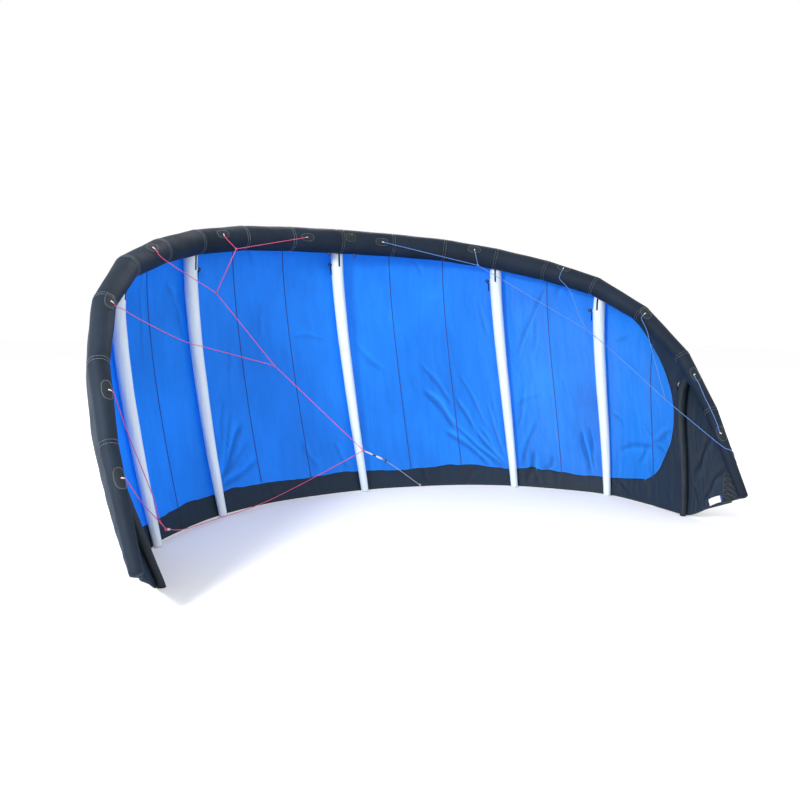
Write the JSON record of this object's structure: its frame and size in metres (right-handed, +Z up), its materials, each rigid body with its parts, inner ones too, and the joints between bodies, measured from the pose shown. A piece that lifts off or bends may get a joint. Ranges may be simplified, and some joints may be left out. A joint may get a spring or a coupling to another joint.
{
  "type": "kitesurfing kite",
  "caption": "Inflatable kitesurfing kite standing on its trailing edge, with a black leading-edge tube, white struts, blue cloth, black tips and coloured bridle lines.",
  "frame": {"origin": "on the ground under the middle of the kite, at the bottom centre of the box round its solids without the bridle lines", "axes": "+X towards the kite's right-hand tip as seen from its hollow side, +Y from the hollow side towards the outer side of the cloth, +Z up"},
  "size_m": [4.2632, 2.6663, 2.11],
  "materials": {
    "tube_black": "satin",
    "strut_white": "satin",
    "strut_black": "satin",
    "canopy_blue": "satin",
    "canopy_black": "satin",
    "line_pink": "matte",
    "line_blue": "matte",
    "line_grey": "matte",
    "label_white": "matte"
  },
  "bodies": {
    "root": {"band_l_1": "canopy_black", "band_l_2": "canopy_black", "band_r_1": "canopy_black", "band_r_2": "canopy_black", "blue_l_1": "canopy_blue", "blue_l_2": "canopy_blue", "blue_l_3": "canopy_blue", "blue_l_4": "canopy_blue", "blue_l_5": "canopy_blue", "blue_l_6": "canopy_blue", "blue_l_7": "canopy_blue", "blue_r_1": "canopy_blue", "blue_r_2": "canopy_blue", "blue_r_3": "canopy_blue", "blue_r_4": "canopy_blue", "blue_r_5": "canopy_blue", "blue_r_6": "canopy_blue", "blue_r_7": "canopy_blue", "label_r": "label_white", "le_l_1": "tube_black", "le_l_2": "tube_black", "le_l_3": "tube_black", "le_l_4": "tube_black", "le_l_5": "tube_black", "le_l_6": "tube_black", "le_l_7": "tube_black", "le_l_8": "tube_black", "le_l_9": "tube_black", "le_r_1": "tube_black", "le_r_2": "tube_black", "le_r_3": "tube_black", "le_r_4": "tube_black", "le_r_5": "tube_black", "le_r_6": "tube_black", "le_r_7": "tube_black", "le_r_8": "tube_black", "le_r_9": "tube_black", "line_cross_l": "line_pink", "line_fourth_l": "line_pink", "line_fourth_r": "line_blue", "line_front_l": "line_pink", "line_front_r": "line_blue", "line_leader": "line_grey", "line_rear_l": "line_pink", "line_rear_r": "line_blue", "line_second_l": "line_pink", "line_second_r": "line_blue", "line_third_l": "line_pink", "line_third_r": "line_blue", "strut_inner_l": "strut_white", "strut_inner_r": "strut_white", "strut_mid": "strut_white", "strut_outer_l": "strut_white", "strut_outer_r": "strut_white", "strut_tip_l": "strut_black", "strut_tip_r": "strut_black", "tip_l_inner": "canopy_black", "tip_l_outer": "canopy_black", "tip_r_inner": "canopy_black", "tip_r_outer": "canopy_black"}
  },
  "joints": []
}
